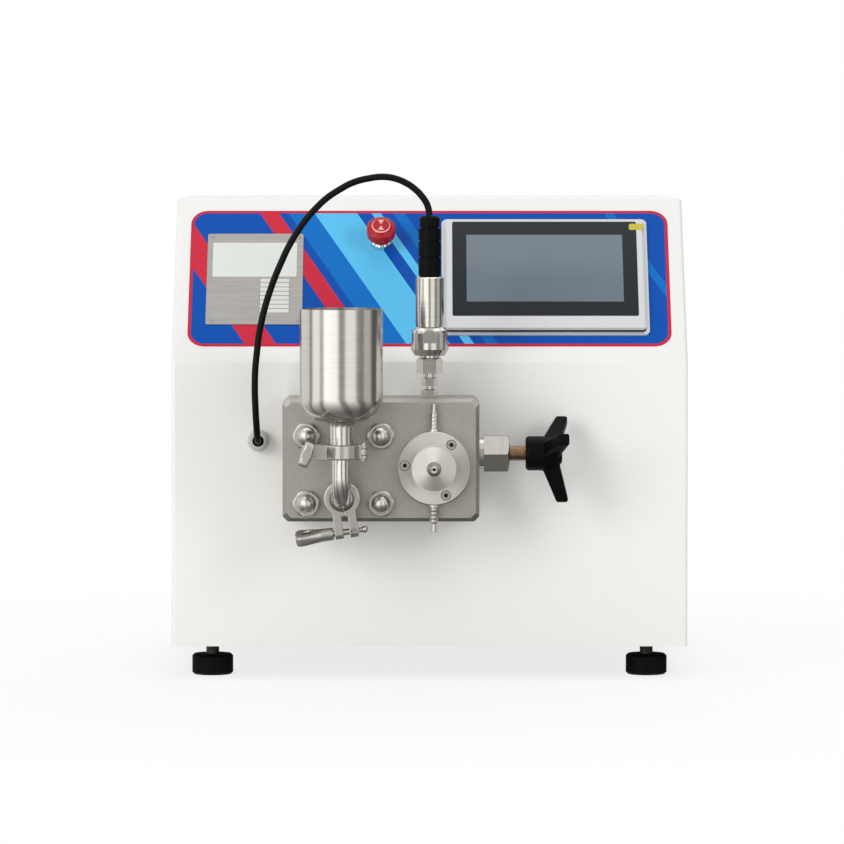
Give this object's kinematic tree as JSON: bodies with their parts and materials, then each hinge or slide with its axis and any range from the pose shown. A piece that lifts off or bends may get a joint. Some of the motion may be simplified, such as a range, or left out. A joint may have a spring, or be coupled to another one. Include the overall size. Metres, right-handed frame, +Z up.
{
  "type": "dairy homogenizer",
  "caption": "Benchtop dairy homogenizer: sloped white cabinet with touch screen, steel plunger pump block, feed hopper, pressure transducer and hand-set valve.",
  "frame": {"origin": "on the bench, under the middle of the machine's outline without the sensor cable", "axes": "+Z up, the front with the pump block faces -Y, +X to the viewer's right"},
  "size_m": [0.5, 0.624, 0.4892],
  "materials": {
    "white_powder_coat": "fine powder coat, satin",
    "satin_steel": "bead-blasted stainless steel",
    "cast_steel": "investment-cast stainless steel, matt",
    "polished_steel": "polished stainless steel",
    "turned_steel": "turned stainless steel",
    "chrome_plate": "chrome plate",
    "zinc_steel": "zinc-plated steel",
    "printed_film": "printed polyester film, satin",
    "aluminium_plate": "brushed aluminium sheet",
    "silver_bezel": "silver paint, satin",
    "screen_glass": "dark glossy touch glass",
    "black_plastic": "moulded black plastic, satin",
    "red_plastic": "moulded red plastic",
    "grey_plastic": "moulded light grey plastic",
    "bronze": "turned bronze",
    "black_rubber": "moulded rubber",
    "cable_sheath": "smooth cable sheath",
    "white_seal": "moulded sealing plastic",
    "hard_alloy": "ground hard alloy",
    "motor_black": "black-painted cast housing",
    "drive_steel": "milled steel"
  },
  "bodies": {
    "cabinet": {"housing_shell": "white_powder_coat", "base_plate": "white_powder_coat", "rear_panel": "white_powder_coat", "panel_overlay": "printed_film", "nameplate": "aluminium_plate", "hmi_case": "silver_bezel", "hmi_glass": "screen_glass", "motor_drive": "aluminium_plate", "estop_collar": "chrome_plate", "estop_barrel": "black_plastic", "pump_block": "satin_steel", "pump_studs": "zinc_steel", "dome_nuts": "polished_steel", "cooling_jacket": "turned_steel", "outlet_nozzle": "turned_steel", "jacket_screws": "zinc_steel", "coolant_barbs": "polished_steel", "valve_bonnet": "satin_steel", "valve_seat": "hard_alloy", "valve_seal": "white_seal", "gauge_fitting": "satin_steel", "gauge_nut": "satin_steel", "transducer_body": "turned_steel", "connector_plug": "black_plastic", "sensor_cable": "cable_sheath", "cable_gland": "grey_plastic", "hopper": "polished_steel", "inlet_elbow": "polished_steel", "inlet_ferrule": "polished_steel", "clamp_gaskets": "white_seal", "upper_jaw_front": "cast_steel", "upper_jaw_rear": "cast_steel", "lower_jaw_left": "cast_steel", "lower_jaw_right": "cast_steel", "clamp_pins": "turned_steel", "drive_frame": "drive_steel", "drive_motor": "motor_black", "drive_belt": "black_rubber", "screw_bearing": "drive_steel", "plunger_seal": "white_seal", "check_valves": "hard_alloy", "power_inlet": "black_plastic"},
    "foot_front_left": {"foot_front_left": "black_rubber"},
    "foot_front_right": {"foot_front_right": "black_rubber"},
    "foot_rear_left": {"foot_rear_left": "black_rubber"},
    "foot_rear_right": {"foot_rear_right": "black_rubber"},
    "estop_plunger": {"estop_stem": "black_plastic"},
    "estop_head": {"estop_cap": "red_plastic"},
    "valve_spindle": {"valve_push_rod": "hard_alloy"},
    "handle": {"valve_stem": "bronze", "handle_knob": "black_plastic"},
    "upper_bolt": {"upper_swing_bolt": "cast_steel"},
    "upper_nut": {"upper_wing_nut": "cast_steel"},
    "lower_bolt": {"lower_swing_bolt": "cast_steel"},
    "lower_nut": {"lower_wing_nut": "cast_steel"},
    "motor_rotor": {"motor_pulley": "drive_steel"},
    "drive_screw": {"ball_screw": "drive_steel"},
    "plunger_carriage": {"carriage": "drive_steel", "plunger": "hard_alloy"},
    "rocker": {"mains_rocker": "black_plastic"}
  },
  "joints": [
    {"name": "foot_front_left_turn", "type": "hinge", "parent": "cabinet", "child": "foot_front_left", "pos_m": [-0.212, -0.10297, 0.02], "axis": [0, 0, 1], "continuous": true},
    {"name": "foot_front_right_turn", "type": "hinge", "parent": "cabinet", "child": "foot_front_right", "pos_m": [0.212, -0.10297, 0.02], "axis": [0, 0, 1], "continuous": true},
    {"name": "foot_rear_left_turn", "type": "hinge", "parent": "cabinet", "child": "foot_rear_left", "pos_m": [-0.212, 0.26703, 0.02], "axis": [0, 0, 1], "continuous": true},
    {"name": "foot_rear_right_turn", "type": "hinge", "parent": "cabinet", "child": "foot_rear_right", "pos_m": [0.212, 0.26703, 0.02], "axis": [0, 0, 1], "continuous": true},
    {"name": "estop_press", "type": "slide", "parent": "cabinet", "child": "estop_plunger", "axis": [0, 0.7547, -0.6561], "range_m": [0, 0.004]},
    {"name": "estop_twist", "type": "hinge", "parent": "estop_plunger", "child": "estop_head", "pos_m": [-0.0475, -0.04989, 0.41983], "axis": [0, 0.7547, -0.6561], "range_deg": [0, 45]},
    {"name": "handle_turn", "type": "hinge", "parent": "valve_spindle", "child": "handle", "pos_m": [0.0475, -0.19798, 0.2214], "axis": [1, 0, 0], "range_deg": [-180.2, 720.5]},
    {"name": "valve_advance", "type": "slide", "parent": "cabinet", "child": "valve_spindle", "axis": [1, 0, 0], "range_m": [-0.00075, 0.003]},
    {"name": "upper_bolt_swing", "type": "hinge", "parent": "cabinet", "child": "upper_bolt", "pos_m": [-0.1155, -0.25583, 0.2263], "axis": [0, 0, -1], "range_deg": [0, 100]},
    {"name": "upper_nut_turn", "type": "hinge", "parent": "upper_bolt", "child": "upper_nut", "pos_m": [-0.1155, -0.28582, 0.2263], "axis": [0, -1, 0], "continuous": true},
    {"name": "lower_bolt_swing", "type": "hinge", "parent": "cabinet", "child": "lower_bolt", "pos_m": [-0.07197, -0.23197, 0.14931], "axis": [0, -1, 0], "range_deg": [0, 100]},
    {"name": "lower_nut_turn", "type": "hinge", "parent": "lower_bolt", "child": "lower_nut", "pos_m": [-0.07197, -0.23197, 0.14931], "axis": [-0.9903, 0, -0.1392], "continuous": true},
    {"name": "motor_spin", "type": "hinge", "parent": "cabinet", "child": "motor_rotor", "pos_m": [0.048, 0.09202, 0.2069], "axis": [0, -1, 0], "range_deg": [0, 1350.5]},
    {"name": "screw_spin", "type": "hinge", "parent": "cabinet", "child": "drive_screw", "pos_m": [-0.082, 0.09202, 0.2069], "axis": [0, -1, 0], "range_deg": [0, 900.5]},
    {"name": "plunger_stroke", "type": "slide", "parent": "cabinet", "child": "plunger_carriage", "axis": [0, 1, 0], "range_m": [0, 0.025]},
    {"name": "rocker_tilt", "type": "hinge", "parent": "cabinet", "child": "rocker", "pos_m": [0.17, 0.30202, 0.112], "axis": [0, 0, 1], "range_deg": [0, 16]}
  ],
  "couplings": [
    {"joint": "handle_turn", "follows": "valve_advance", "rad_per_m": 4188.8},
    {"joint": "screw_spin", "follows": "plunger_stroke", "rad_per_m": 628.32},
    {"joint": "motor_spin", "follows": "plunger_stroke", "rad_per_m": 942.48}
  ]
}
